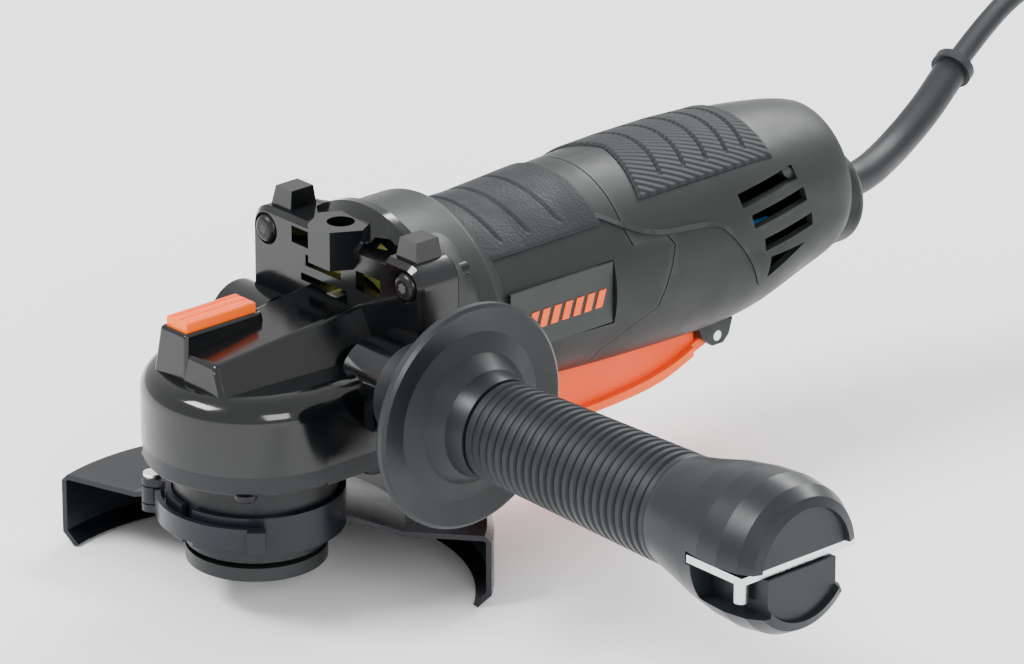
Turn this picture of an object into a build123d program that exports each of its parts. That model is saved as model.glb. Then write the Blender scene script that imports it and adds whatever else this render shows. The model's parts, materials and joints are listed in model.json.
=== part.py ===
from build123d import *
import math
import os

# Compact 125 mm angle grinder with paddle switch, wheel guard and side handle. Millimetres.
# Origin: spindle axis at the wheel seat (lower face of the inner flange).
# +Z runs up the spindle to the gear head, +Y to the rear, +X to the side handle.

MOTOR_Z = 52.4            # height of the motor axis
WALL = 2.5                # moulded housing wall
RUN = 0.05                # running clearance, radial
GAP = 0.4                 # clearance between separate pieces

# wheel clamp
WHEEL_BORE_R = 11.1
WHEEL_GAP = 1.6           # thinnest wheel
FLANGE_R = 20.2
FLANGE_T = 4.0
NUT_T = 4.0
SPINDLE_R = 7.0           # M14 thread
SHAFT_R = 6.0             # bearing seat
SPINDLE_LOW = -WHEEL_GAP - NUT_T - 2.0
SPINDLE_TOP = 58.6

# gears
MODULE = 1.3
PINION_TEETH = 10
CROWN_TEETH = 33
PINION_R = MODULE * PINION_TEETH / 2
CROWN_R = MODULE * CROWN_TEETH / 2
FACE = 6.5                # face width
CROWN_TOP = MOTOR_Z - PINION_R

# spindle lock: the pin stands over one of four holes in the crown gear
LOCK_XY = -6.5
LOCK_TRAVEL = 3.2
BUTTON_LOW = 63.5

# gear head
HEAD_R = 32.0
HEAD_LOW = 31.1
HEAD_TOP = 53.0
CAVITY_R = 25.5
FACE_Y = 30.0             # front face of the rear flange
SEAM_Y = 44.0             # gear housing meets the motor housing
RIM_R = 37.0
BEVEL_R = 29.0            # front edge of the flange's bevel
BEVEL_DEPTH = 11.0
RIM_LOW = 17.8            # the flange and front ring are flat below, above the guard
BOLT_X = 30.3
BOLT_UP = 23.9
CORNER_R = 6.6
BOSS_X = 38.0             # handle boss face
HANDLE_Y = 25.3
HANDLE_Z = 49.1
THREAD_R = 4.0            # M8
TOP_BOSS_Y = 32.3
TOP_BOSS_Z = 86.6
TOP_BOSS_LOW = 75.0
COVER_SCREWS = [(-20.3, -20.3), (20.3, -20.3), (-28.2, 19.0), (28.2, 19.0)]
COVER_LOW = 25.4

# housings: (y, centre height, radius)
BARREL = [(70.0, MOTOR_Z, 29.0), (82.0, MOTOR_Z, 28.9), (97.0, MOTOR_Z, 29.7), (116.0, MOTOR_Z, 30.8),
          (142.0, MOTOR_Z, 31.6), (162.0, MOTOR_Z, 31.6), (177.0, MOTOR_Z + 0.6, 30.6),
          (190.0, MOTOR_Z + 1.7, 28.4), (202.0, MOTOR_Z + 2.4, 26.0), (211.0, MOTOR_Z + 2.8, 23.4)]
TAIL_Y = 226.0            # rear face of the tail
TAIL_R = 15.5
TAIL_Z = 46.6
BULKHEAD_Y = 205.5        # wall that closes the body round the tail
REAR_SCREWS = [(136.0, 76.0), (186.0, 72.0), (192.0, 38.0)]

# paddle hinge
PIVOT_Y = 166.0
PIVOT_Z = 19.6

# guard
GUARD_R = 67.2
GUARD_TOP = 3.6
SHEET = 1.6
SKIRT_LOW = -14.6
LIP_LOW = -18.6
GUARD_FROM = 40.0
GUARD_TO = 197.0
COLLAR_R = 23.9
COLLAR_TOP = 16.0
NECK_R = 23.4
LEVER_AT = 215.0          # direction of the clamp lever's pivot
LEVER_R = COLLAR_R + 6.5
LEVER_Z0 = 7.6
LEVER_Z1 = 12.5
PIN_R = 1.5

# side handle, along +X
GRIP_FROM = 76.0
GRIP_TO = 150.0
CAP_END = 196.0
RIBS = 24
WRENCH_X0 = 172.0
WRENCH_X1 = 193.0

# mains lead
CORD_R = 3.5
FLOOR_Z = LIP_LOW
CORD_ROUTE = [(0, 226.5, 46.6), (-4, 244, 46), (-9.5, 261, 48.5), (-14, 279, 55), (-20, 298, 64),
              (-26, 318, 72), (-30, 338, 78), (-29.5, 358, 81.5), (-22, 377, 81), (-6, 391, 75),
              (17, 397, 61),
              (42, 396, 43), (67, 388, 24), (90, 375, 7), (111, 357, -7), (127, 335, -14.6),
              (135, 312, -15.1), (135.5, 292, -15.1)]
GUARD_RUNS = 5            # points of the route that the bend protector covers
COIL_AT = (92.0, 292.0)
COIL_R = 36.5
COIL_HALF = 10.6
COIL_HIGH = 14.2
PLUG_TURN = 20.0


def put(solid, name):
    """Write one node."""
    solid.label = name
    export_step(solid, f"parts/{name}.step")


def tube(r_out, r_in, z_low, z_high):
    """Ring along Z between two heights."""
    ring = Pos(0, 0, z_low) * Cylinder(r_out, z_high - z_low, align=(Align.CENTER, Align.CENTER, Align.MIN))
    if r_in:
        ring -= Pos(0, 0, z_low - 1) * Cylinder(r_in, z_high - z_low + 2,
                                                align=(Align.CENTER, Align.CENTER, Align.MIN))
    return ring


def rod(r, z_low, z_high):
    """Round bar along Z."""
    return tube(r, 0, z_low, z_high)


def along_y(solid, x=0.0, z=MOTOR_Z):
    """Turn a solid made along +Z to run along +Y at the motor axis."""
    return Pos(x, 0, z) * Rot(-90, 0, 0) * solid


def along_x(solid, y=HANDLE_Y, z=HANDLE_Z):
    """Turn a solid made along +Z to run along +X at the handle axis."""
    return Pos(0, y, z) * Rot(0, 90, 0) * solid


def block(x0, x1, y0, y1, z0, z1):
    """Box between two corners."""
    return Pos((x0 + x1) / 2, (y0 + y1) / 2, (z0 + z1) / 2) * Box(x1 - x0, y1 - y0, z1 - z0)


def turned(points):
    """Solid of revolution about Z from (radius, height) points."""
    outline = Plane.XZ * make_face(Polyline(*points, close=True))
    return revolve(outline, Axis.Z)


def sector(r, a0, a1, z0, z1):
    """Pie slice about Z between two angles in degrees."""
    steps = max(2, math.ceil((a1 - a0) / 30))
    arc = [(r * math.cos(math.radians(a0 + (a1 - a0) * i / steps)),
            r * math.sin(math.radians(a0 + (a1 - a0) * i / steps))) for i in range(steps + 1)]
    pie = make_face(Polyline((0, 0), *arc, close=True))
    return Pos(0, 0, z0) * extrude(pie, z1 - z0)


def loft_body(shrink):
    """Handle-shaped body through round sections, made smaller by the wall."""
    rings = [Plane((0, y, zc), x_dir=(1, 0, 0), z_dir=(0, 1, 0)) * Circle(r - shrink)
             for y, zc, r in BARREL]
    return loft(rings)


def spin(solid, count):
    """Copies of a solid evenly round Z."""
    return [Rot(0, 0, 360 * i / count) * solid for i in range(count)]


# ---------------------------------------------------------------- spindle group
def make_spindle():
    """M14 spindle with bearing seats, shoulder and upper bush journal."""
    bar = rod(SPINDLE_R, SPINDLE_LOW, FLANGE_T) + rod(8.5, FLANGE_T, 10)
    bar += rod(SHAFT_R, 10, 47) + rod(4.0, 47, SPINDLE_TOP)
    return chamfer(bar.edges().group_by(Axis.Z)[0], 1.0)


def make_inner_flange():
    """Wheel flange with its 22.2 mm pilot below the seat face."""
    return tube(FLANGE_R, SPINDLE_R, 0, FLANGE_T) + tube(WHEEL_BORE_R, SPINDLE_R, -WHEEL_GAP + 0.1, 0)


def make_lock_nut():
    """Round lock nut with four holes for the two-pin wrench."""
    nut = tube(FLANGE_R, SPINDLE_R + RUN, -WHEEL_GAP - NUT_T, -WHEEL_GAP)
    nut -= tube(13.5, 11.6, -WHEEL_GAP - NUT_T, -WHEEL_GAP - NUT_T + 1.0)
    for hole in spin(Pos(15.0, 0, 0) * rod(2.2, -WHEEL_GAP - NUT_T - 1, -WHEEL_GAP + 1), 4):
        nut -= hole
    return nut


def make_crown_gear():
    """Bevel crown gear, teeth up, apex on the motor axis, with four lock holes."""
    depth = 2.2
    back = turned([(SHAFT_R, 34), (17.5, 34), (CROWN_R + 0.8, 39.5), (CROWN_R + 0.8, CROWN_TOP - 1.4),
                   (CROWN_R - FACE, CROWN_TOP + 0.6), (11.9, CROWN_TOP - 0.9), (SHAFT_R, CROWN_TOP - 1)])
    half = 90 / CROWN_TEETH * 0.62
    tooth = Plane.XY * make_face(Polyline(
        ((CROWN_R - FACE) * math.cos(math.radians(half)), -(CROWN_R - FACE) * math.sin(math.radians(half))),
        (CROWN_R * math.cos(math.radians(half)), -CROWN_R * math.sin(math.radians(half))),
        (CROWN_R * math.cos(math.radians(half)), CROWN_R * math.sin(math.radians(half))),
        ((CROWN_R - FACE) * math.cos(math.radians(half)), (CROWN_R - FACE) * math.sin(math.radians(half))),
        close=True))
    blank = extrude(tooth, 9)
    cone = turned([(CROWN_R - FACE - 3, CROWN_TOP - 4), (CROWN_R + 2, CROWN_TOP - 4),
                   (CROWN_R + 2, CROWN_TOP + 0.5), (CROWN_R - FACE - 3, CROWN_TOP + depth + 0.6)])
    tooth_solid = (Pos(0, 0, CROWN_TOP - 3) * blank) & cone
    pitch = 360 / CROWN_TEETH
    teeth = [Rot(0, 0, 90 + pitch * (i + 0.5)) * tooth_solid for i in range(CROWN_TEETH)]
    gear = back.fuse(*teeth)
    for hole in spin(Pos(LOCK_XY, LOCK_XY, 0) * rod(2.6, 37, 60), 4):
        gear -= hole
    return gear


# ---------------------------------------------------------------- armature group
def make_pinion():
    """Ten-tooth bevel pinion pointing at the spindle."""
    near = CROWN_R - FACE
    root0 = (PINION_R * near / CROWN_R) - 1.5
    root1 = PINION_R - 1.9
    core = turned([(0, near), (root0, near), (root1, CROWN_R), (root1, CROWN_R + 3), (0, CROWN_R + 3)])
    tooth = extrude(Plane.XY * Pos(0, 0, near) * make_face(Polyline(
        (1, -0.75), (PINION_R + 1, -0.62), (PINION_R + 1, 0.62), (1, 0.75), close=True)), FACE)
    tip0 = PINION_R * near / CROWN_R + 0.1
    skin = turned([(0, near), (tip0, near), (PINION_R + 0.3, CROWN_R), (0, CROWN_R)])
    tooth = tooth & skin
    core = core.fuse(*spin(tooth, PINION_TEETH))
    return along_y(Rot(0, 0, 90) * core)


def make_armature_shaft():
    """Motor shaft from behind the pinion to the rear bearing."""
    return along_y(rod(4.0, CROWN_R + 3, 126.0))


def make_rotor_core():
    """Laminated rotor with twelve slots."""
    core = tube(13.0, 4.0, 64.0, 98.0)
    for slot in spin(block(8.5, 13.5, -0.9, 0.9, 63, 99), 12):
        core -= slot
    return along_y(core)


def make_rotor_winding():
    """Rotor winding heads at both ends of the core."""
    return along_y(tube(11.0, 4.0, 58.5, 64.0)), along_y(tube(11.0, 4.0, 98.0, 103.5))


def make_commutator():
    """Copper commutator with fine slots."""
    bars = tube(9.0, 4.0, 105.0, 115.0)
    for slot in spin(block(8.2, 9.5, -0.3, 0.3, 104, 116), 16):
        bars -= slot
    return along_y(bars)


def make_fan():
    """Cooling fan with back plate and twelve blades."""
    plate = tube(26.0, 4.0, 54.5, 56.5) + tube(7.0, 4.0, 47.5, 54.5)
    blade = block(6.5, 25.5, -0.7, 0.7, 48.0, 55.0)
    return along_y(plate.fuse(*spin(blade, 12)))


def bearing(r_in, r_out, y0, y1):
    """Ball bearing as one ring with a groove on each side, along the motor axis."""
    return along_y(bearing_ring(r_in, r_out, y0, y1))


def bearing_ring(r_in, r_out, z0, z1):
    """Ball bearing ring along Z with shield grooves."""
    mid = (r_in + r_out) / 2
    ring = tube(r_out, r_in, z0, z1)
    for low, high in ((z0 - 1, z0 + 0.6), (z1 - 0.6, z1 + 1)):
        ring -= tube(mid + 1.2, mid - 1.2, low, high)
    return ring


# ---------------------------------------------------------------- gear head
def flange_outline(y):
    """Rounded square through the four screw corners."""
    plane = Plane((0, y, MOTOR_Z), x_dir=(1, 0, 0), z_dir=(0, 1, 0))
    return plane * RectangleRounded(2 * (BOLT_X + CORNER_R), 2 * (BOLT_UP + CORNER_R), CORNER_R)


def make_flange():
    """Flange of the gear housing: rounded square with a round rim, bevelled in front."""
    back = SEAM_Y - 0.2
    rim = along_y(turned([(0, FACE_Y), (BEVEL_R, FACE_Y), (RIM_R, FACE_Y + BEVEL_DEPTH), (RIM_R, back),
                          (0, back)]))
    plate = extrude(flange_outline(FACE_Y), back - FACE_Y)
    return rim + chamfer(plate.edges().group_by(Axis.Y)[0], 1.5)


def make_gear_housing():
    """Glossy cast gear head with rear flange, bosses, ears, vents and button pod."""
    head = rod(HEAD_R, HEAD_LOW, HEAD_TOP) + block(-HEAD_R, HEAD_R, 0, FACE_Y + 2, HEAD_LOW, HEAD_TOP)
    head = fillet(head.edges().group_by(Axis.Z)[-1], 7.0)
    low = Pos(0, 0, HEAD_TOP - 6) * make_face(Polyline(
        (-19, -25), (19, -25), (22.5, FACE_Y + 2), (-22.5, FACE_Y + 2), close=True))
    high = Plane(origin=(0, -22, 60.6), x_dir=(1, 0, 0), z_dir=(0, -0.09, 1)) * make_face(Polyline(
        (-10, 0), (10, 0), (11, 54), (-11, 54), close=True))
    spine = loft([low, high])
    spine = fillet(spine.edges(), 1.8)
    head = head + spine
    head += make_flange()
    for sx in (-1, 1):
        head += Pos(sx * 27.5, 0, 0) * loft([
            Pos(0, 37.5, 74) * Rectangle(11, 12), Pos(sx * -0.5, 38, 88.4) * Rectangle(7, 8)])
        head += along_x(rod(10.5, sx * 20 if sx > 0 else -BOSS_X, BOSS_X if sx > 0 else -20))
        head += block(*(sorted((sx * 20, sx * 34))), HANDLE_Y - 10.5, FACE_Y + 1, 38, HANDLE_Z)
    pod = Pos(-8, -8.5, 50) * extrude(Rectangle(15, 31), 16.0, taper=6)
    pod = fillet(pod.edges(), 1.2)
    head += pod
    # hollow for the crown gear, pinion, bush and bearings
    head -= rod(CAVITY_R, HEAD_LOW - 1, 49.0)
    head -= block(-CAVITY_R, CAVITY_R, 0, 20, HEAD_LOW - 1, 40)
    head -= along_y(rod(9.0, 5.0, FACE_Y))
    head -= rod(6.5, 48, 59.2)
    head -= along_y(rod(13.0, FACE_Y - 1.5, FACE_Y + 6.5))
    head -= along_y(rod(9.0, FACE_Y + 6, SEAM_Y + 1))
    # air chamber behind the vented face
    head -= along_y(turned([(16.0, FACE_Y + 3), (BEVEL_R - 2, FACE_Y + 3), (33.5, FACE_Y + BEVEL_DEPTH),
                            (33.5, SEAM_Y + 1), (16.0, SEAM_Y + 1)]))
    # top boss for the handle thread
    boss = Pos(0, TOP_BOSS_Y, TOP_BOSS_LOW) * extrude(RegularPolygon(9.4, 6), TOP_BOSS_Z - TOP_BOSS_LOW)
    head += boss & block(-12, 12, 20, FACE_Y + 8.2, 60, 100)
    # threads
    head -= along_x(rod(THREAD_R + RUN, 20, 60))
    head -= along_x(rod(THREAD_R + RUN, -60, -20))
    head -= Pos(0, TOP_BOSS_Y, 0) * rod(THREAD_R, TOP_BOSS_Z - 10, TOP_BOSS_Z + 1)
    # button pocket and lock pin hole
    head -= block(-12.9, -3.1, -21.4, 4.4, BUTTON_LOW - LOCK_TRAVEL - 0.3, 80)
    head -= Pos(LOCK_XY, LOCK_XY, 0) * rod(2.2 + RUN, 47, 70)
    # flange screw holes
    for sx in (-1, 1):
        for sz in (-1, 1):
            head -= along_y(rod(2.3, 20, 60), sx * BOLT_X, MOTOR_Z + sz * BOLT_UP)
            head -= along_y(rod(4.8, 24, FACE_Y + 2.0), sx * BOLT_X, MOTOR_Z + sz * BOLT_UP)
    # vents through the front face
    for x0, x1, z0, z1 in ((-19, -9.4, 75.5, 80.5), (-13, 2.5, 70.0, 73.4), (-15, 5, 65.2, 67.4),
                           (9.0, 19.5, 69.4, 75.0), (10.5, 22, 80.4, 84.0)):
        head -= block(x0, x1, FACE_Y - 12, FACE_Y + 8, z0, z1)
    for x, y in COVER_SCREWS:
        head -= Pos(x, y, 0) * rod(2.1, HEAD_LOW - 1, HEAD_LOW + 6)
    head -= rod(33, 0, HEAD_LOW) + block(-50, 50, 20, 60, 0, RIM_LOW)
    return head


def make_bearing_cover():
    """Aluminium bearing cover with the neck that carries the guard."""
    cover = turned([(9.2, 8), (NECK_R, 8), (NECK_R, COVER_LOW), (31.0, COVER_LOW),
                    (31.6, COVER_LOW + 0.8), (31.6, 31.0), (16.0, 31.0), (16.0, 10.5), (9.2, 10.5)])
    cover += block(-31.6, 31.6, 0, 27, COVER_LOW, 31.0) - rod(20, 24, 32)
    for x, y in COVER_SCREWS:
        cover -= Pos(x, y, 0) * rod(2.1, 20, 40)
    return cover


def screw(head_r, head_h, shank_r, length):
    """Button-head torx screw, head below, shank up."""
    body = rod(head_r, -head_h, 0)
    body = fillet(body.edges().group_by(Axis.Z)[0], head_h * 0.6)
    body += rod(shank_r, 0, length)
    body -= Pos(0, 0, -head_h - 0.1) * extrude(RegularPolygon(1.5, 6), 1.6)
    return body


def make_cover_screws():
    """Four screws that hold the bearing cover from below."""
    return [Pos(x, y, COVER_LOW) * screw(3.4, 2.4, 2.0, 11.0) for x, y in COVER_SCREWS]


def make_flange_screws():
    """Four screws that hold the gear head on the motor housing."""
    body = Rot(-90, 0, 0) * screw(4.2, 3.2, 2.2, 20)
    return [Pos(sx * BOLT_X, FACE_Y + 2.0, MOTOR_Z + sz * BOLT_UP) * body
            for sx in (-1, 1) for sz in (-1, 1)]


# ---------------------------------------------------------------- plastic housings
def tab_zone(shift):
    """Space of the motor housing: everything ahead of the stepped seam."""
    side = Plane.YZ * make_face(Polyline(
        (40 - shift, 0), (109 - shift, 0), (109 - shift, 34), (117 - shift, 40), (126 - shift, 44.5),
        (133 - shift, 62), (131 - shift, 65), (118 - shift, 65), (116.5 - shift, 70), (119 - shift, 110),
        (40 - shift, 110), close=True))
    return extrude(side, 60, both=True)


def shell_body():
    """Hollow grip body."""
    return loft_body(0) - loft_body(WALL)


def paddle_slot():
    """Opening under the body for the paddle's side walls."""
    return block(-11.0, 11.0, 80, 172, 10, 30)


def make_motor_housing():
    """Front ring and barrel around the motor."""
    ring = along_y(rod(35.2, SEAM_Y, 64.0))
    ring = fillet(ring.edges().group_by(Axis.Y)[-1], 2.5)
    rear_circle = Plane((0, 56.0, MOTOR_Z), x_dir=(1, 0, 0), z_dir=(0, 1, 0)) * Circle(34.9)
    ring += loft([flange_outline(SEAM_Y), rear_circle])
    ring += along_y(Pos(0, 0, 63) * extrude(Circle(33.0), 8.0, taper=30))
    ring -= block(-60, 60, 30, 64, 0, RIM_LOW)
    ring -= along_y(rod(32.0, SEAM_Y - 1, 60.0))
    ring -= along_y(rod(26.5, 50, 80.0))
    barrel = shell_body() & tab_zone(0)
    barrel = ring + barrel
    barrel -= paddle_slot()
    barrel += along_y(tube(13.5, 9.5, 118.0, 125.0))
    for sx in (-1, 1):
        barrel += block(*sorted((sx * 13.0, sx * 29.0)), 118.0, 121.0, MOTOR_Z - 4, MOTOR_Z + 4)
        for sz in (-1, 1):
            barrel -= along_y(rod(2.2, 40, 54), sx * BOLT_X, MOTOR_Z + sz * BOLT_UP)
        for z in (-8, 8):
            barrel += block(*sorted((sx * 22.1, sx * 27.5)), 68, 104, MOTOR_Z + z - 1.5, MOTOR_Z + z + 1.5)
    # recessed name panel on the right side
    barrel -= block(28.2, 40, 70, 110, 43.6, 63.0)
    return barrel


def make_rear_housing(side):
    """One half of the rear grip, with air slots and a half of the tail."""
    body = shell_body() - tab_zone(-GAP)
    tail = along_y(rod(TAIL_R, 203.0, TAIL_Y), 0, TAIL_Z)
    body += fillet(tail.edges().group_by(Axis.Y)[-1], 3.5)
    body += loft_body(WALL / 2) & block(-40, 40, BULKHEAD_Y, BULKHEAD_Y + 2.0, 0, 100)
    body -= along_y(rod(TAIL_R - WALL, 202, TAIL_Y - 3.5), 0, TAIL_Z)
    body -= along_y(rod(6.2, 200, 240), 0, TAIL_Z)
    body -= paddle_slot()
    # lugs for the paddle pin
    for x in (-12.6, 12.6):
        lug = Plane.YZ * make_face(Polyline(
            (158, 24), (172, 24), (170.5, 19.0), (168.2, 16.9), (163.8, 16.9), (160, 20), close=True))
        body += Pos(x, 0, 0) * extrude(lug, 1.1, both=True)
    body -= Pos(0, 166, 19.6) * Rot(0, 90, 0) * Cylinder(1.6, 60)
    # slanted air slots
    for z, y0, y1 in ((68.5, 161, 186), (62.0, 164, 188), (54.0, 168, 190)):
        body -= Pos(0, (y0 + y1) / 2, z) * Rot(5, 0, 0) * Box(90, y1 - y0, 4.0)
    wedge = Plane.YZ * make_face(Polyline((171, 41.5), (171, 48.5), (187, 48.3), close=True))
    body -= extrude(wedge, 60, both=True)
    keep = block(0.0, 60, 90, 240, -20, 110) if side > 0 else block(-60, 0.0, 90, 240, -20, 110)
    body = body & keep
    for y, z in REAR_SCREWS:
        column = Pos(side * 12, y, z) * Rot(0, 90, 0) * Cylinder(4.6, 24)
        column -= Pos(side * 12, y, z) * Rot(0, 90, 0) * Cylinder(1.6, 26)
        body += column & loft_body(0.5)
        if side < 0:
            body -= Pos(-14, y, z) * Rot(0, -90, 0) * rod(3.3, 0, 30)
    return body


def make_housing_screws():
    """Screws that join the two rear halves, driven from the left side."""
    body = rod(3.0, -2.2, 0) + rod(1.55, 0, 24)
    return [Pos(-14.0, y, z) * Rot(0, 90, 0) * body for y, z in REAR_SCREWS]


def pad_skin(y0, y1, half_angle, thick):
    """Soft pad that lies on top of the barrel."""
    outer = loft_body(-thick) - loft_body(0)
    side = 60 * math.sin(math.radians(half_angle))
    up = MOTOR_Z + 60 * math.cos(math.radians(half_angle))
    wedge = Plane.XZ * make_face(Polyline(
        (0, MOTOR_Z), (side, up), (0, MOTOR_Z + 90), (-side, up), close=True))
    zone = Pos(0, y0, 0) * extrude(wedge, -(y1 - y0))
    return outer & zone


def make_front_pad():
    """Stippled rubber pad on the motor housing."""
    return pad_skin(72.5, 110.0, 50, 1.0)


def make_rear_pads():
    """Ribbed rubber pad on the rear grip, split between the halves."""
    pad = pad_skin(124.0, 180.0, 42, 1.0)
    return pad & block(0.05, 60, 90, 240, 0, 110), pad & block(-60, -0.05, 90, 240, 0, 110)


def make_name_plate():
    """Inset plate on the right side of the motor housing."""
    return block(28.2, 29.0, 70.4, 109.6, 44.0, 62.6)


def make_fan_baffle():
    """Olive air guide behind the vented face."""
    return along_y(tube(31.5, 16.6, 39.0, 41.0) + tube(31.5, 29.5, 39.0, 46.0))


# ---------------------------------------------------------------- motor and electrics
def make_stator():
    """Laminated stator core."""
    core = tube(22.0, 13.8, 66.0, 96.0)
    core -= block(-30, 30, 18.5, 40, 60, 100) + block(-30, 30, -40, -18.5, 60, 100)
    return along_y(core)


def make_field_coils():
    """Two field windings at each end of the stator."""
    coils = []
    for z0, z1 in ((59.5, 66.0), (96.0, 102.5)):
        ring = tube(18.3, 13.8, z0, z1)
        coils += [along_y(ring & sector(40, 30, 150, z0, z1)), along_y(ring & sector(40, 210, 330, z0, z1))]
    return coils


def make_brush_parts():
    """Brush holders, carbon brushes and springs, one set on each side of the commutator."""
    holders, brushes, springs = [], [], []
    for sx in (-1, 1):
        frame = block(10.5, 23.0, 106.0, 114.0, MOTOR_Z - 4.5, MOTOR_Z + 4.5)
        frame -= block(9.0, 24.0, 107.5, 112.5, MOTOR_Z - 3.0, MOTOR_Z + 3.0)
        brush = block(9.3, 17.0, 107.6, 112.4, MOTOR_Z - 2.9, MOTOR_Z + 2.9)
        coil = Pos(0, 110, MOTOR_Z) * Rot(0, 90, 0) * tube(2.2, 1.2, 17.0, 23.0)
        for group, solid in ((holders, frame), (brushes, brush), (springs, coil)):
            group.append(solid if sx > 0 else mirror(solid, about=Plane.YZ))
    return holders, brushes, springs


def make_switch():
    """Trigger switch module above the paddle."""
    box = block(-8.5, 8.5, 140, 160, 34, 56)
    box += Pos(0, 148, 0) * rod(2.5, 29.0, 34)
    return box


def make_wires():
    """Blue lead from the cord clamp to the switch."""
    path = FilletPolyline((0.0, 199.0, 44.0), (0.0, 190.0, 44.0), (6.0, 178.0, 50.0), (6.0, 168.0, 46.0),
                          (6.0, 160.1, 46.0), radius=4)
    return sweep(Plane(path @ 0, z_dir=path % 0) * Circle(1.1), path)


# ---------------------------------------------------------------- paddle
def make_paddle():
    """Channel-shaped paddle with a bowed lower face, hinged at the rear."""
    low = [(79.0, 8.6), (98, 7.6), (117, 7.8), (131, 8.4), (147, 10.7), (160, 15.4), (168, 17.8)]
    top = [(169.0, 20.3), (164.0, 20.2), (158, 17.6), (146, 13.4), (131, 11.2), (98, 10.4), (79.0, 11.4)]
    side = Plane.YZ * make_face(Spline(*low) + Line(low[-1], top[0]) + Spline(*top) + Line(top[-1], low[0]))
    plate = extrude(side, 12.0, both=True)
    plate -= block(-13, -10.6, 158, 175, 10, 30) + block(10.6, 13, 158, 175, 10, 30)
    wall = Plane.YZ * make_face(Polyline(
        (86, 9.5), (140, 10.5), (160, 17), (160, 21.0), (150, 23.5), (86, 23.5), close=True))
    for x in (-8.6, 8.6):
        plate += Pos(x, 0, 0) * extrude(wall, 0.9, both=True)
    plate += block(-3, 3, 143, 153, 12.5, 24.0)
    plate -= Pos(0, PIVOT_Y, PIVOT_Z) * Rot(0, 90, 0) * Cylinder(1.6 + RUN, 60)
    return plate


def make_paddle_pin():
    """Steel pin that the paddle turns on."""
    return Pos(0, PIVOT_Y, PIVOT_Z) * Rot(0, 90, 0) * Cylinder(1.6, 27.2)


# ---------------------------------------------------------------- guard
def make_guard():
    """Pressed wheel guard: flat top, raised cone, skirt and inward lip."""
    t = SHEET
    z = GUARD_TOP
    profile = turned([
        (COLLAR_R + t, z + 4.2), (42.0, z), (GUARD_R - 2, z), (GUARD_R, z - 2), (GUARD_R, SKIRT_LOW),
        (GUARD_R - 4, LIP_LOW), (GUARD_R - 5.3, LIP_LOW + 0.9), (GUARD_R - t, SKIRT_LOW + 0.6),
        (GUARD_R - t, z - t - 0.4), (GUARD_R - t - 0.8, z - t), (42.0, z - t),
        (COLLAR_R + t, z + 4.2 - t)])
    return profile & sector(120, GUARD_FROM, GUARD_TO, -40, 40)


def make_guard_collar():
    """Split clamp band of the guard, welded to the plate."""
    band = tube(COLLAR_R + SHEET, COLLAR_R, 4.6, COLLAR_TOP)
    band -= sector(60, 266, 276, 0, 40)
    for low, high in ((5.0, 7.2), (12.9, 15.1)):
        knuckle = block(COLLAR_R + 0.8, LEVER_R, -3.2, 3.2, low, high)
        knuckle += Pos(LEVER_R, 0, 0) * rod(3.2, low, high)
        knuckle -= Pos(LEVER_R, 0, 0) * rod(PIN_R, 0, 30)
        band += Rot(0, 0, LEVER_AT) * knuckle
    return band


def make_clamp_lever():
    """Quick-release lever that wraps round the front of the collar."""
    r = COLLAR_R + 3.0
    strip = tube(r + 1.6, r, LEVER_Z0, LEVER_Z1 + 1.5) & sector(60, 230, 318, 0, 40)
    strip += tube(r + 1.6, r, LEVER_Z0, LEVER_Z1) & sector(60, LEVER_AT - 1, 232, 0, 40)
    strip += Rot(0, 0, 318) * block(r + 0.2, r + 4.0, -1.2, 4.0, LEVER_Z0, LEVER_Z1 + 1.5)
    eye = Rot(0, 0, LEVER_AT) * (Pos(LEVER_R, 0, 0) * rod(3.2, LEVER_Z0, LEVER_Z1))
    lever = strip + eye
    return lever - Rot(0, 0, LEVER_AT) * (Pos(LEVER_R, 0, 0) * rod(PIN_R + RUN, 0, 30))


def make_lever_pin():
    """Pin of the clamp lever."""
    return Rot(0, 0, LEVER_AT) * (Pos(LEVER_R, 0, 0) * (rod(PIN_R, 4.4, 15.2) + rod(2.6, 15.1, 16.2)))


# ---------------------------------------------------------------- side handle
def make_handle_stud():
    """M8 stud of the side handle."""
    return along_x(rod(THREAD_R, 24, 70) + tube(7.5, THREAD_R, 60, 64))


def make_handle_body():
    """Handle core: collar, dished hand shield, hub and tube under the grip."""
    core = turned([(0, 70), (THREAD_R, 70), (THREAD_R, BOSS_X + 0.3), (14.2, BOSS_X + 0.3), (14.8, 50),
                   (16.0, 57), (24.0, 59.5), (32.0, 60.5), (32.6, 61.5), (32.6, 63.2), (31.6, 64.0),
                   (24.5, 63.0), (19.0, 65.0), (15.6, 70.0), (14.6, GRIP_FROM), (11.5, GRIP_FROM),
                   (11.5, 168), (0, 168)])
    core -= tube(7.5, THREAD_R - 0.01, 60, 64)
    return along_x(core)


def make_handle_grip():
    """Soft ribbed sleeve."""
    pitch = (GRIP_TO - GRIP_FROM) / RIBS
    points = [(11.5, GRIP_FROM)]
    for i in range(RIBS):
        x = GRIP_FROM + i * pitch
        r = 14.3 + 1.5 * i / RIBS
        points += [(r - 0.9, x), (r, x + 0.35 * pitch), (r, x + 0.8 * pitch)]
    points += [(15.4, GRIP_TO), (11.5, GRIP_TO)]
    return along_x(turned(points))


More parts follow.
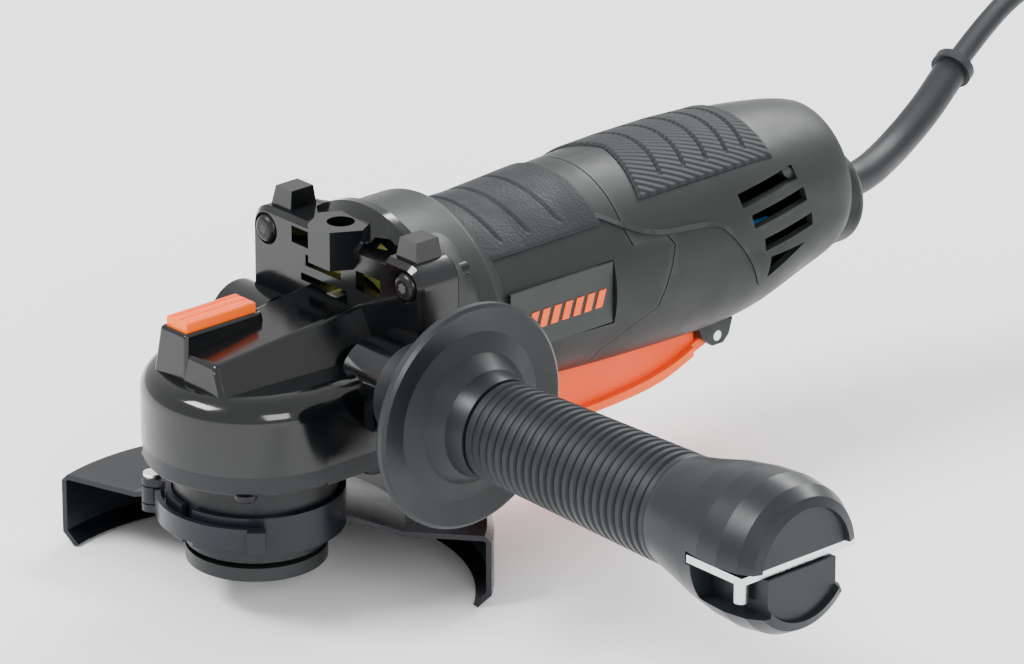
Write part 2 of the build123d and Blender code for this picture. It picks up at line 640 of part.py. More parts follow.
def make_end_cap():
    """Bulged handle end that stores the wrench in a cross slot."""
    cap = turned([(11.5, GRIP_TO), (15.6, GRIP_TO), (17.4, 158), (19.8, 167), (21.3, 176), (21.8, 184),
                  (20.8, 191), (18.6, 195), (16.0, CAP_END), (15.6, CAP_END - 1.6), (0, CAP_END - 1.6),
                  (0, 168), (11.5, 168)])
    cap = along_x(cap)
    # cross slot for the plate and side pockets for its pins
    slot = block(WRENCH_X0 - 0.6, CAP_END + 1, HANDLE_Y - 30, HANDLE_Y + 30, HANDLE_Z - 1.6, HANDLE_Z + 1.9)
    for sy in (-1, 1):
        pocket = block(WRENCH_X0 + 1.5, CAP_END + 1, *sorted((HANDLE_Y + sy * 12.3, HANDLE_Y + sy * 30)),
                       HANDLE_Z - 12, HANDLE_Z)
        slot += pocket
    return cap - slot


def make_pin_wrench():
    """Flat two-pin wrench stored in the handle end."""
    plate = block(WRENCH_X0, WRENCH_X1, HANDLE_Y - 20.6, HANDLE_Y + 20.6, HANDLE_Z - 1.1, HANDLE_Z + 1.1)
    for sy in (-1, 1):
        plate += Pos(187.0, HANDLE_Y + sy * 15.0, 0) * rod(2.0, HANDLE_Z - 9.0, HANDLE_Z)
        plate += Pos(187.0, HANDLE_Y + sy * 15.0, 0) * rod(3.0, HANDLE_Z, HANDLE_Z + 1.5)
    return plate


# ---------------------------------------------------------------- spindle lock
def make_lock_button():
    """Grooved push button."""
    cap = block(-12.4, -3.6, -20.9, 3.9, BUTTON_LOW, 69.0)
    cap = fillet(cap.edges().group_by(Axis.Z)[-1], 0.9)
    for x in (-9.6, -6.4):
        cap -= Pos(x, -8.5, 69.3) * Rot(90, 0, 0) * Cylinder(0.9, 40)
    return cap


def make_lock_pin():
    """Pin that reaches down to the crown gear's holes."""
    return Pos(LOCK_XY, LOCK_XY, 0) * rod(2.2, CROWN_TOP + LOCK_TRAVEL, BUTTON_LOW)


def make_lock_spring():
    """Return spring under the button, as a plain sleeve."""
    return Pos(LOCK_XY, LOCK_XY, 0) * tube(3.2, 2.5, BUTTON_LOW - LOCK_TRAVEL - 0.25, BUTTON_LOW - 0.05)


# ---------------------------------------------------------------- mains lead
def corner_radii(points):
    """Radius at each corner: 0.45 of the shorter run over the tangent of half the turn."""
    radii = []
    for a, b, c in zip(points, points[1:], points[2:]):
        first = Vector(*b) - Vector(*a)
        second = Vector(*c) - Vector(*b)
        half = math.radians(first.get_angle(second) / 2)
        radii.append(0.45 * min(first.length, second.length) / math.tan(half))
    return radii


def lead_path(points):
    """Straight runs joined by tangent arcs."""
    return FilletPolyline(*points, radius=corner_radii(points))


def round_sweep(path, radius):
    """Tube along a path."""
    return sweep(Plane(path @ 0, z_dir=path % 0) * Circle(radius), path)


def make_cord_guard():
    """Rubber bend protector with a collar inside the tail and a ring at its end."""
    points = CORD_ROUTE[:GUARD_RUNS]
    path = lead_path(points)
    body = round_sweep(path, 5.2)
    root = along_y(rod(8.5, TAIL_Y - 6.5, TAIL_Y - 3.6) + rod(6.1, TAIL_Y - 3.6, TAIL_Y + 0.6), 0, TAIL_Z)
    end = Plane(path @ 1, z_dir=path % 1)
    ring = end * Pos(0, 0, -3.2) * Cylinder(6.6, 3.2, align=(Align.CENTER, Align.CENTER, Align.MIN))
    return body + root + ring


def make_cord():
    """Free length of the lead from the bend protector to the coil."""
    path = lead_path(CORD_ROUTE[GUARD_RUNS - 1:])
    return round_sweep(path, CORD_R), path


def make_cord_coil():
    """Outer shape of the coiled length."""
    x, y = COIL_AT
    ring = tube(COIL_R + COIL_HALF, COIL_R - COIL_HALF, FLOOR_Z, FLOOR_Z + COIL_HIGH)
    ring = fillet(ring.edges(), 4.0)
    return Pos(x, y, 0) * ring


def make_coil_tie():
    """Hook-and-loop strap round one side of the coil."""
    x, y = COIL_AT
    near = COIL_R - COIL_HALF
    far = COIL_R + COIL_HALF
    top = FLOOR_Z + COIL_HIGH
    outer = block(-6, 6, near - 1.5, far + 1.5, FLOOR_Z, top + 1.2)
    inner = block(-7, 7, near - 0.1, far + 0.1, FLOOR_Z - 1, top + 0.1)
    return Pos(x, y, 0) * (outer - inner)


def make_plug():
    """Two-pin moulded plug lying on the coil, and its pins."""
    x, y = COIL_AT
    z = FLOOR_Z + COIL_HIGH + 9.2
    body = loft([Plane((0, -12, 0), x_dir=(1, 0, 0), z_dir=(0, 1, 0)) * Circle(5.5),
                 Plane((0, 6, 0), x_dir=(1, 0, 0), z_dir=(0, 1, 0)) * Circle(9.0),
                 Plane((0, 26, 0), x_dir=(1, 0, 0), z_dir=(0, 1, 0)) * Circle(9.0)])
    face = Pos(0, 26, 0) * Box(36, 7, 14, align=(Align.CENTER, Align.MIN, Align.CENTER))
    body = body + fillet(face.edges().filter_by(Axis.Y), 6.5)
    pins = [Pos(px, 33, 0) * Rot(-90, 0, 0) * rod(2.35, 0, 19) for px in (-9.5, 9.5)]
    place = Pos(x - 6, y - 24, z) * Rot(0, 0, PLUG_TURN)
    return place * body, [place * p for p in pins]


def report_lead(path):
    """Print the tube's radii and length."""
    print("radii", [round(r) for r in corner_radii(CORD_ROUTE)])
    print("free length", round(path.length))


def main():
    """Build every node and write it."""
    os.makedirs("parts", exist_ok=True)
    windings = make_rotor_winding()
    holders, brushes, springs = make_brush_parts()
    pad_right, pad_left = make_rear_pads()
    cord, cord_path = make_cord()
    plug, pins = make_plug()
    nodes = {
        "spindle": make_spindle(), "inner_flange": make_inner_flange(), "lock_nut": make_lock_nut(),
        "crown_gear": make_crown_gear(), "pinion": make_pinion(), "armature_shaft": make_armature_shaft(),
        "rotor_core": make_rotor_core(), "rotor_winding": Compound(children=list(windings)),
        "commutator": make_commutator(), "fan": make_fan(),
        "front_motor_bearing": bearing(4.0, 13.0, FACE_Y - 1.4, FACE_Y + 6.4),
        "rear_motor_bearing": bearing(4.0, 9.5, 118.5, 124.5),
        "spindle_bearing": bearing_ring(SHAFT_R, 16.0, 10.6, 20.6),
        "spindle_bush": tube(6.5, 4.0 + RUN, 53.4, 59.1),
        "gear_housing": make_gear_housing(), "bearing_cover": make_bearing_cover(),
        "cover_screws": Compound(children=make_cover_screws()),
        "flange_screws": Compound(children=make_flange_screws()),
        "motor_housing": make_motor_housing(),
        "rear_housing_right": make_rear_housing(1), "rear_housing_left": make_rear_housing(-1),
        "housing_screws": Compound(children=make_housing_screws()),
        "front_grip_pad": make_front_pad(), "rear_pad_right": pad_right, "rear_pad_left": pad_left,
        "name_plate": make_name_plate(), "fan_baffle": make_fan_baffle(),
        "stator_core": make_stator(), "field_coils": Compound(children=make_field_coils()),
        "brush_holders": Compound(children=holders), "carbon_brushes": Compound(children=brushes),
        "brush_springs": Compound(children=springs),
        "switch_body": make_switch(), "switch_wire": make_wires(),
        "paddle": make_paddle(), "paddle_pin": make_paddle_pin(),
        "guard": make_guard(), "guard_collar": make_guard_collar(), "clamp_lever": make_clamp_lever(),
        "lever_pin": make_lever_pin(), "handle_stud": make_handle_stud(), "handle_body": make_handle_body(),
        "handle_grip": make_handle_grip(), "handle_end_cap": make_end_cap(),
        "pin_wrench": make_pin_wrench(),
        "lock_button": make_lock_button(), "lock_pin": make_lock_pin(), "lock_spring": make_lock_spring(),
        "cord_guard": make_cord_guard(), "cord": cord, "cord_coil": make_cord_coil(),
        "coil_tie": make_coil_tie(), "plug_body": plug, "plug_pins": Compound(children=pins),
    }
    for name, solid in nodes.items():
        put(solid, name)
    report_lead(cord_path)


if __name__ == "__main__":
    main()
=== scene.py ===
import json
import math

import bpy
import bmesh
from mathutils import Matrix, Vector

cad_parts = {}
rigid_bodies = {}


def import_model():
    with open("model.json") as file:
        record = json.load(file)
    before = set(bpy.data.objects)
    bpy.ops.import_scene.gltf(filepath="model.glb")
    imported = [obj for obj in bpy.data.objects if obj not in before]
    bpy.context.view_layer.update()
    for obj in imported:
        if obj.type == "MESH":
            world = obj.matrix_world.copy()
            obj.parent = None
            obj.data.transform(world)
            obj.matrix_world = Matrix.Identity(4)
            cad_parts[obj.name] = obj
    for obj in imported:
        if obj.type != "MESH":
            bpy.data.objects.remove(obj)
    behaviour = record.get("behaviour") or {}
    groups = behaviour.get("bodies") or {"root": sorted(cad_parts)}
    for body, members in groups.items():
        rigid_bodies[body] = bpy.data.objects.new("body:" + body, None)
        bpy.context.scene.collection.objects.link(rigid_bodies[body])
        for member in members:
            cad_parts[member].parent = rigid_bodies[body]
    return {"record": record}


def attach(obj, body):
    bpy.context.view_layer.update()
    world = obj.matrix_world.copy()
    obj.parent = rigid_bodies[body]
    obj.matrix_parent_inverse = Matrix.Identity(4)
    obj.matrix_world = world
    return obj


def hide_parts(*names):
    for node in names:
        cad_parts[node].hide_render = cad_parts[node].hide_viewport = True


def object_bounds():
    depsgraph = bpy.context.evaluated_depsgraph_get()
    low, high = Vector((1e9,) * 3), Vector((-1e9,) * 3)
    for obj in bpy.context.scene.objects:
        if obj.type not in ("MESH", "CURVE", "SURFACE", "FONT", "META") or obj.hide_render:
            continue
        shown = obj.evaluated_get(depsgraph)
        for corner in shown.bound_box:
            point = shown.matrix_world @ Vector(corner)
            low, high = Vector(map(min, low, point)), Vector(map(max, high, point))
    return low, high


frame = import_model()
CAD_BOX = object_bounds()
MM = 0.001
PAINT = {}

# ---------------------------------------------------------------- camera, floor and light
AZIMUTH = math.radians(48.325)
ELEVATION = math.radians(22.289)
CAMERA_RANGE = 1.8275
CAMERA_RIGHT = 0.072211
CAMERA_UP = 0.062389
SEAT_HEIGHT = 0.0056      # the view was set out from the lock nut's lower face
LENS = 226.9
FLOOR_HALF = 6
WORLD_STRENGTH = 1.15


def make_camera():
    """Camera at the viewing angle."""
    back = Vector((math.cos(ELEVATION) * math.sin(AZIMUTH), -math.cos(ELEVATION) * math.cos(AZIMUTH),
                   math.sin(ELEVATION)))
    right = Vector((math.cos(AZIMUTH), math.sin(AZIMUTH), 0))
    up = back.cross(right)
    data = bpy.data.cameras.new("camera")
    data.lens = LENS
    data.sensor_width = 36
    data.clip_end = 50
    camera = bpy.data.objects.new("camera", data)
    bpy.context.scene.collection.objects.link(camera)
    aside = right * CAMERA_RIGHT + up * CAMERA_UP
    camera.location = back * CAMERA_RANGE + aside - Vector((0, 0, SEAT_HEIGHT))
    camera.rotation_euler = back.to_track_quat("Z", "Y").to_euler()
    bpy.context.scene.camera = camera


def area_light(name, place, size, power, target=(0.03, 0.09, 0.04)):
    """Soft box aimed at the tool."""
    data = bpy.data.lights.new(name, "AREA")
    data.shape = "RECTANGLE"
    data.size, data.size_y = size
    data.energy = power
    lamp = bpy.data.objects.new(name, data)
    bpy.context.scene.collection.objects.link(lamp)
    lamp.location = place
    lamp.rotation_euler = (Vector(place) - Vector(target)).to_track_quat("Z", "Y").to_euler()


def make_studio():
    """Pale floor, pale world and three soft boxes."""
    mesh = bpy.data.meshes.new("floor")
    low = CAD_BOX[0][2]
    side = FLOOR_HALF
    corners = [(-side, -side, low), (side, -side, low), (side, side, low), (-side, side, low)]
    mesh.from_pydata(corners, [], [(0, 1, 2, 3)])
    floor = bpy.data.objects.new("floor", mesh)
    bpy.context.scene.collection.objects.link(floor)
    white, _, shader = new_material("studio_white", (0.95, 0.95, 0.95), 0.8)
    shader.inputs["Specular IOR Level"].default_value = 0.1
    mesh.materials.append(white)
    world = bpy.data.worlds.new("world")
    world.use_nodes = True
    world.node_tree.nodes["Background"].inputs[0].default_value = (1, 1, 1, 1)
    world.node_tree.nodes["Background"].inputs[1].default_value = WORLD_STRENGTH
    bpy.context.scene.world = world
    area_light("key", (-0.5, -1.1, 1.5), (0.9, 0.5), 44)
    area_light("fill", (1.7, -0.5, 0.9), (0.8, 0.8), 22)
    area_light("rim", (-0.4, 1.5, 1.3), (1.2, 0.4), 34)


# ---------------------------------------------------------------- materials
PLASTIC_GLEAM = 0.32


def new_material(name, colour, roughness, metallic=0.0):
    """Principled material; returns it with its node tree and shader."""
    made = bpy.data.materials.new(name)
    made.use_nodes = True
    shader = made.node_tree.nodes["Principled BSDF"]
    shader.inputs["Base Color"].default_value = (*colour, 1)
    shader.inputs["Roughness"].default_value = roughness
    shader.inputs["Metallic"].default_value = metallic
    return made, made.node_tree, shader


def noise(tree, scale, detail=3.0, stretch=(1, 1, 1)):
    """Noise in object space, scale in waves per metre."""
    place = tree.nodes.new("ShaderNodeTexCoord")
    shape = tree.nodes.new("ShaderNodeMapping")
    shape.inputs["Scale"].default_value = stretch
    wave = tree.nodes.new("ShaderNodeTexNoise")
    wave.inputs["Scale"].default_value = scale
    wave.inputs["Detail"].default_value = detail
    tree.links.new(place.outputs["Object"], shape.inputs["Vector"])
    tree.links.new(shape.outputs["Vector"], wave.inputs["Vector"])
    return wave.outputs["Fac"]


def ramp(tree, source, low, high, spread=(0.35, 0.65)):
    """Map a factor to a range of values or colours."""
    node = tree.nodes.new("ShaderNodeValToRGB")
    node.color_ramp.elements[0].position = spread[0]
    node.color_ramp.elements[1].position = spread[1]
    for element, value in zip(node.color_ramp.elements, (low, high)):
        element.color = (*value, 1) if isinstance(value, tuple) else (value, value, value, 1)
    tree.links.new(source, node.inputs["Fac"])
    return node.outputs["Color"]


def bump(tree, shader, source, strength, distance, before=None):
    """Raise the surface by a factor; returns the node so that another can follow it."""
    node = tree.nodes.new("ShaderNodeBump")
    node.inputs["Strength"].default_value = strength
    node.inputs["Distance"].default_value = distance
    tree.links.new(source, node.inputs["Height"])
    if before:
        tree.links.new(before.outputs["Normal"], node.inputs["Normal"])
    tree.links.new(node.outputs["Normal"], shader.inputs["Normal"])
    return node


def shade(colour, factor):
    """Colour made lighter or darker."""
    return tuple(min(1.0, c * factor) for c in colour)


def surface(name, colour, rough, grain=900, grain_depth=0.00003, metallic=0.0, vary=0.12, stretch=(1, 1, 1),
            strength=0.35, gleam=PLASTIC_GLEAM):
    """Material with fine grain, broad colour variation, a painted highlight on sharp edges and uneven gloss.
    """
    made, tree, shader = new_material(name, colour, 0.5, metallic)
    broad = noise(tree, 26, 4)
    tone = ramp(tree, broad, shade(colour, 1 - vary), shade(colour, 1 + vary))
    # painted highlight: sharp convex edges are lightened to stand in for light catching them
    edge = tree.nodes.new("ShaderNodeNewGeometry")
    edge_highlight = ramp(tree, edge.outputs["Pointiness"], 0.0, 1.0, (0.53, 0.60))
    mix = tree.nodes.new("ShaderNodeMixRGB")
    mix.inputs["Color2"].default_value = (*shade(colour, 1.8), 1)
    tree.links.new(edge_highlight, mix.inputs["Fac"])
    tree.links.new(tone, mix.inputs["Color1"])
    tree.links.new(mix.outputs["Color"], shader.inputs["Base Color"])
    tree.links.new(ramp(tree, noise(tree, 60, 5), max(0.03, rough - 0.07), min(1.0, rough + 0.07)),
                   shader.inputs["Roughness"])
    bump(tree, shader, noise(tree, grain, 2, stretch), strength, grain_depth)
    shader.inputs["Specular IOR Level"].default_value = gleam
    return made


def diagonal_ribs(name, colour):
    """Rubber with fine diagonal ribs; its colour carries painted shade in the grooves and a painted
    highlight on the crests.
    """
    made, tree, shader = new_material(name, colour, 0.6)
    shader.inputs["Specular IOR Level"].default_value = PLASTIC_GLEAM
    place = tree.nodes.new("ShaderNodeTexCoord")
    turn = tree.nodes.new("ShaderNodeMapping")
    turn.inputs["Rotation"].default_value = (0, 0, math.radians(28))
    wave = tree.nodes.new("ShaderNodeTexWave")
    wave.inputs["Scale"].default_value = 180
    wave.inputs["Distortion"].default_value = 0.6
    tree.links.new(place.outputs["Object"], turn.inputs["Vector"])
    tree.links.new(turn.outputs["Vector"], wave.inputs["Vector"])
    # painted shade and highlight: the colour follows the rib height, darker in the grooves and lighter on
    # the crests
    tree.links.new(ramp(tree, wave.outputs["Fac"], shade(colour, 0.75), shade(colour, 1.35), (0.2, 0.8)),
                   shader.inputs["Base Color"])
    first = bump(tree, shader, wave.outputs["Fac"], 0.7, 0.0003)
    bump(tree, shader, noise(tree, 700, 2), 0.25, 0.00005, first)
    return made


def make_materials():
    """One material for each finish."""
    PAINT.update({
        "head_black": surface("head_black", (0.002, 0.0025, 0.003), 0.15, 500, 0.00002, vary=0.1, gleam=0.5),
        "cover_dark": surface("cover_dark", (0.006, 0.007, 0.008), 0.38, 1200, 0.00003),
        "black_steel": surface("black_steel", (0.018, 0.018, 0.020), 0.28, 900, metallic=0.6),
        "housing_grey": surface("housing_grey", (0.013, 0.016, 0.0155), 0.44, 2600, 0.00004, vary=0.07),
        "soft_rubber": surface("soft_rubber", (0.010, 0.013, 0.0145), 0.6, 1100, 0.00022, vary=0.1,
                               strength=0.9),
        "olive_plastic": surface("olive_plastic", (0.42, 0.42, 0.11), 0.5),
        "lamination": surface("lamination", (0.30, 0.31, 0.33), 0.4, 900, metallic=1.0, stretch=(1, 40, 1)),
        "copper": surface("copper", (0.60, 0.22, 0.10), 0.35, 1500, 0.0001, metallic=1.0),
        "brass_metal": surface("brass_metal", (0.78, 0.58, 0.22), 0.35, metallic=1.0),
        "carbon": surface("carbon", (0.03, 0.03, 0.03), 0.7),
        "steel": surface("steel", (0.55, 0.56, 0.57), 0.3, 700, metallic=1.0, stretch=(1, 1, 12)),
        "flange_steel": surface("flange_steel", (0.012, 0.014, 0.014), 0.36, 900, 0.00002, metallic=0.4),
        "black_plastic": surface("black_plastic", (0.02, 0.02, 0.02), 0.5),
        "blue_wire": surface("blue_wire", (0.01, 0.22, 0.70), 0.35),
        "orange_plastic": surface("orange_plastic", (0.92, 0.075, 0.002), 0.4, 1600, 0.00003, vary=0.05),
        "guard_black": surface("guard_black", (0.004, 0.005, 0.007), 0.3, 1500, 0.00005, vary=0.15),
        "handle_plastic": surface("handle_plastic", (0.008, 0.0105, 0.012), 0.38, 1800, 0.00004, vary=0.1),
        "grip_rubber": surface("grip_rubber", (0.007, 0.010, 0.0125), 0.44, 1800, 0.00005, vary=0.1),
        "zinc": surface("zinc", (0.62, 0.66, 0.67), 0.28, 500, 0.00012, metallic=1.0, vary=0.25,
                        strength=0.8),
        "cord_rubber": surface("cord_rubber", (0.011, 0.013, 0.015), 0.46, 1500, 0.00004),
        "tie_fabric": surface("tie_fabric", (0.02, 0.02, 0.022), 0.9, 1800, 0.0002, strength=1.0),
    })
    PAINT["ribbed_rubber"] = diagonal_ribs("ribbed_rubber", (0.010, 0.013, 0.0145))


def paint_cad():
    """Give each carried-over CAD node its finish."""
    for part in frame["record"]["subparts"]:
        node = bpy.data.objects[part["node"]]
        slot = part["material_slot"]
        node.data.materials.clear()
        node.data.materials.append(PAINT["ribbed_rubber" if "rear_pad" in part["node"] else slot])


# ---------------------------------------------------------------- helpers
def add_mesh(name, verts, faces, material, body, smooth=True, replaces=()):
    """New piece from vertices in millimetres, riding on a body."""
    mesh = bpy.data.meshes.new(name)
    mesh.from_pydata([Vector(v) * MM for v in verts], [], faces)
    work = bmesh.new()
    work.from_mesh(mesh)
    bmesh.ops.remove_doubles(work, verts=work.verts, dist=1e-7)
    bmesh.ops.recalc_face_normals(work, faces=work.faces)
    work.to_mesh(mesh)
    work.free()
    mesh.materials.append(PAINT[material])
    piece = bpy.data.objects.new(name, mesh)
    bpy.context.scene.collection.objects.link(piece)
    if smooth:
        mesh.shade_smooth()
    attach(piece, body)
    if replaces:
        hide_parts(*replaces)
    return piece


def apply_modifiers(piece):
    """Replace the mesh by its evaluated form."""
    bpy.context.view_layer.update()
    graph = bpy.context.evaluated_depsgraph_get()
    made = bpy.data.meshes.new_from_object(piece.evaluated_get(graph))
    piece.modifiers.clear()
    piece.data = made


# ---------------------------------------------------------------- rounded edges
EDGE_ANGLE = math.radians(35)
# bevel widths in millimetres of the carried-over pieces
SOFT_EDGES = {
    "gear_housing": 0.7, "bearing_cover": 0.5, "motor_housing": 0.5, "rear_housing_right": 0.5,
    "rear_housing_left": 0.5, "guard": 0.3, "guard_collar": 0.25, "clamp_lever": 0.3, "lock_nut": 0.4,
    "inner_flange": 0.4, "handle_body": 0.4, "handle_end_cap": 0.5, "handle_grip": 0.15,
    "pin_wrench": 0.3, "lock_button": 0.3, "paddle": 0.4, "cord_guard": 0.4, "plug_body": 0.6,
    "name_plate": 0.2}


def soften(piece, width, segments=2):
    """Small rounded edges that catch the light."""
    edge = piece.modifiers.new("edge", "BEVEL")
    edge.width = width * MM
    edge.segments = segments
    edge.limit_method = "ANGLE"
    edge.angle_limit = EDGE_ANGLE


def soften_cad():
    """Rounded edges on the moulded, cast and pressed pieces."""
    for name, width in SOFT_EDGES.items():
        soften(bpy.data.objects[name], width)


# ---------------------------------------------------------------- mains lead
CORD_ROUTE = [(-20, 298, 64), (-26, 318, 72), (-30, 338, 78), (-29.5, 358, 81.5), (-22, 377, 81),
              (-6, 391, 75), (17, 397, 61), (42, 396, 43), (67, 388, 24), (90, 375, 7), (111, 357, -7),
              (127, 335, -14.6), (135, 312, -15.1)]
COIL_CENTRE = (92.0, 292.0)
CORD_R = 3.5
COIL_OUT = 43.5
COIL_IN = 29.5
COIL_TURNS = 6
COIL_LOW = -15.1          # centre of the turns on the floor
COIL_LAYER = 7.0          # one lead thickness
STEPS = 12


def coil_points():
    """Six turns: inwards along the floor, then outwards on top."""
    points = []
    for i in range(STEPS * COIL_TURNS + 1):
        turn = i / STEPS
        inward = min(turn, COIL_TURNS - turn)
        layer = min(1.0, max(0.0, (turn - 2.75) / 0.5))
        radius = COIL_OUT - (COIL_OUT - COIL_IN) * inward / (COIL_TURNS / 2)
        angle = -2 * math.pi * turn
        points.append((COIL_CENTRE[0] + radius * math.cos(angle), COIL_CENTRE[1] + radius * math.sin(angle),
                       COIL_LOW + COIL_LAYER * layer))
    return points


def make_cord():
    """The whole lead as one smooth curve: rise, drop, and the neat coil."""
    points = CORD_ROUTE + coil_points()
    curve = bpy.data.curves.new("mains_lead", "CURVE")
    curve.dimensions = "3D"
    line = curve.splines.new("NURBS")
    line.points.add(len(points) - 1)
    for point, place in zip(line.points, points):
        point.co = (*(c * MM for c in place), 1)
    line.order_u = 3
    line.use_endpoint_u = True
    line.resolution_u = 8
    curve.bevel_depth = CORD_R * MM
    curve.bevel_resolution = 5
    curve.use_fill_caps = True
    curve.materials.append(PAINT["cord_rubber"])
    lead = bpy.data.objects.new("mains_lead", curve)
    bpy.context.scene.collection.objects.link(lead)
    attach(lead, "root")
    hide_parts("cord", "cord_coil")


# ---------------------------------------------------------------- soft pads on the barrel
MOTOR_Z = 52.4
BODY = [(70, 29.0), (82, 28.9), (97, 29.7), (116, 30.8), (142, 31.6), (162, 31.6), (177, 30.9)]
GROOVE = 0.75             # depth and half width of the pads' grooves
GROOVE_FADE = 12
PAD_SINK = 0.35           # how far the pads' border starts below the barrel
PAD_LIFT = 1.0
PAD_ROUND = 1.3           # width of the pads' rounded border


def body_radius(y):
    """Radius of the barrel at a place along the motor."""
    for (y0, r0), (y1, r1) in zip(BODY, BODY[1:]):
        if y <= y1:
            return r0 + (r1 - r0) * (y - y0) / (y1 - y0)
    return BODY[-1][1]


def groove_depth(y, turn, grooves, slant, reach):
    """How deep the moulded grooves cut at a place; they fade out before the pad's side edge."""
    if turn > reach:
        return 0.0
    depth = 0.0
    for start in grooves:
        away = abs(y - start - slant * max(turn, -reach) ** 2)
        depth = max(depth, GROOVE * max(0.0, 1 - (away / GROOVE) ** 2))
    return depth * min(1.0, (reach - turn) * GROOVE_FADE)


def make_pad(name, material, node, y0, y1, half_angle, grooves, slant, side=0, lead=0.0):
    """Moulded pad wrapped over the barrel: rounded border, curved grooves; lead shifts its front edge."""
    rows, cols = 190, 110
    start = -half_angle if side <= 0 else 0.0
    stop = half_angle if side >= 0 else 0.0
    verts, faces = [], []
    for i in range(rows + 1):
        for j in range(cols + 1):
            angle = start + (stop - start) * j / cols
            turn = math.radians(angle)
            front = y0 + lead * abs(turn)
            y = front + (y1 - front) * i / rows
            rim = min(i / rows * (y1 - y0), (1 - i / rows) * (y1 - y0),
                      math.radians(half_angle - abs(angle)) * 30)
            edge = min(1.0, rim / PAD_ROUND)
            lift = (PAD_SINK + PAD_LIFT) * math.sqrt(max(0.0, 1 - (1 - edge) ** 2)) - PAD_SINK
            lift -= groove_depth(y, turn, grooves, slant, math.radians(half_angle - 8)) if edge > 0.5 else 0
            radius = body_radius(y) + lift
            verts.append((radius * math.sin(turn), y, MOTOR_Z + radius * math.cos(turn)))
    for i in range(rows):
        for j in range(cols):
            a = i * (cols + 1) + j
            faces.append((a, a + 1, a + cols + 2, a + cols + 1))
    pad = add_mesh(name, verts, faces, material, "root", replaces=(node,))
    thick = pad.modifiers.new("thick", "SOLIDIFY")
    thick.thickness = 0.9 * MM
    thick.offset = -1
    apply_modifiers(pad)


def make_pads():
    """Front pad and the two halves of the rear pad."""
    make_pad("front_pad_skin", "soft_rubber", "front_grip_pad", 67.0, 110.0, 50, (73.0, 83.5, 95.0), 4.0)
    rear = (141.0, 150.5, 159.3, 167.6, 174.5)
    for side, half in ((1, "right"), (-1, "left")):
        make_pad("rear_pad_skin_" + half, "ribbed_rubber", "rear_pad_" + half, 131.5, 180.0, 44, rear, -9.0,
                 side, -7.0)


# ---------------------------------------------------------------- generic bars on the name panel
BAR_COUNT = 8
BAR_FROM = 72.5
BAR_PITCH = 4.3
BAR_WIDTH = 2.7
BAR_LEAN = 1.6
BAR_HEIGHTS = (49.9, 55.1)
BAR_FACES = (28.95, 29.35)


def make_bars():
    """Row of plain slanted bars."""
    verts, faces = [], []
    for k in range(BAR_COUNT):
        y = BAR_FROM + k * BAR_PITCH
        for z, shift in zip(BAR_HEIGHTS, (0.0, BAR_LEAN)):
            for dy in (0.0, BAR_WIDTH):
                for x in BAR_FACES:
                    verts.append((x, y + dy + shift, z))
        b = 8 * k
        faces += [(b, b + 1, b + 3, b + 2), (b + 4, b + 6, b + 7, b + 5), (b, b + 4, b + 5, b + 1),
                  (b + 2, b + 3, b + 7, b + 6), (b + 1, b + 5, b + 7, b + 3), (b, b + 2, b + 6, b + 4)]
    bars = add_mesh("name_bars", verts, faces, "orange_plastic", "root", smooth=False)
    soften(bars, 0.12)


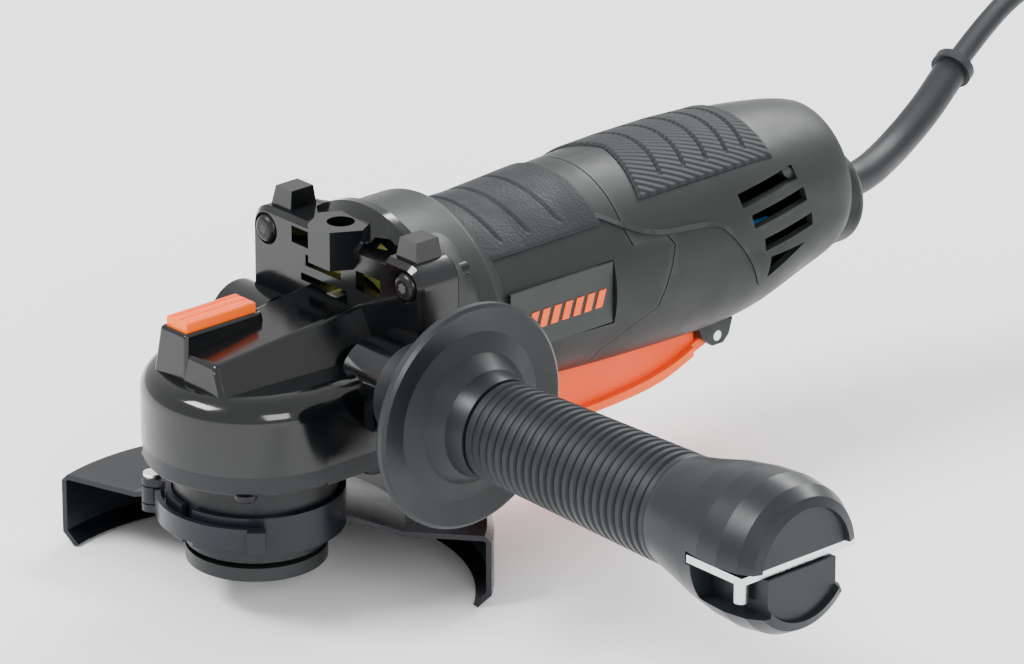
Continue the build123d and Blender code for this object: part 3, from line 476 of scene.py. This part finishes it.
# ---------------------------------------------------------------- seam lines and mould details
def strip(name, path, width, height, material, sink=0.15):
    """Raised rib that follows (angle, y) places round the barrel, angle in degrees from the top."""
    verts, faces = [], []
    for k, (angle, y) in enumerate(path):
        before = path[max(0, k - 1)]
        after = path[min(len(path) - 1, k + 1)]
        radius = body_radius(y)
        along = Vector((math.radians(after[0] - before[0]) * radius, after[1] - before[1])).normalized()
        across = Vector((-along.y, along.x)) * width / 2
        for lift in (-sink, height):
            for sign in (-1, 1):
                turn = math.radians(angle) + sign * across.x / radius
                place = y + sign * across.y
                ring = radius + lift
                verts.append((ring * math.sin(turn), place, MOTOR_Z + ring * math.cos(turn)))
    for k in range(len(path) - 1):
        a = 4 * k
        for i, j in ((0, 1), (1, 3), (3, 2), (2, 0)):
            faces.append((a + i, a + j, a + 4 + j, a + 4 + i))
    end = 4 * (len(path) - 1)
    faces += [(0, 2, 3, 1), (end, end + 1, end + 3, end + 2)]
    return add_mesh(name, verts, faces, material, "root", smooth=False)


def rounded_path(points, steps=8):
    """Corner-cut path through (angle, y) points."""
    path = [points[0]]
    for before, corner, after in zip(points, points[1:], points[2:]):
        start = [(b + c) / 2 for b, c in zip(before, corner)]
        stop = [(c + a) / 2 for c, a in zip(corner, after)]
        for i in range(steps + 1):
            t = i / steps
            path.append(tuple((1 - t) ** 2 * s + 2 * t * (1 - t) * c + t * t * e
                              for s, c, e in zip(start, corner, stop)))
    return path + [points[-1]]


def make_seams():
    """Raised border of the rear housing that sweeps from the top pad down to the paddle, on both sides."""
    for side, word in ((1, "right"), (-1, "left")):
        border = [(side * angle, y) for angle, y in ((30, 100), (44, 110), (57, 119), (64, 128), (66, 140),
                                                     (68, 151), (80, 157), (95, 163), (112, 168))]
        piece = strip("housing_border_" + word, rounded_path(border), 1.6, 0.55, "housing_grey")
        soften(piece, 0.35)


SOCKET_POINTS = 12
SOCKET_RADII = (1.25, 1.75)
SOCKET_FACES = (28.72, 30.4)
BOLT_X = 30.3
BOLT_UP = 23.9


def make_socket_shade():
    """Painted shade: dark star shapes on the heads of the four flange screws, standing in for the shade
    inside their sockets.
    """
    for k, (sx, sz) in enumerate(((-1, -1), (-1, 1), (1, -1), (1, 1))):
        verts, faces = [], []
        for i in range(SOCKET_POINTS):
            reach = SOCKET_RADII[i % 2]
            angle = 2 * math.pi * i / SOCKET_POINTS
            for y in SOCKET_FACES:
                verts.append((sx * BOLT_X + reach * math.cos(angle), y,
                              MOTOR_Z + sz * BOLT_UP + reach * math.sin(angle)))
        for i in range(SOCKET_POINTS):
            a, b = 2 * i, 2 * ((i + 1) % SOCKET_POINTS)
            faces.append((a, b, b + 1, a + 1))
        last = 2 * SOCKET_POINTS
        faces += [tuple(range(0, last, 2)), tuple(range(last - 1, 0, -2))]
        # painted shade: each star is a solid carbon-black piece, not a cut recess
        add_mesh(f"screw_socket_{k}", verts, faces, "carbon", "root", smooth=False)


make_materials()
make_camera()
make_studio()
paint_cad()
soften_cad()
make_cord()
make_pads()
make_bars()
make_seams()
make_socket_shade()
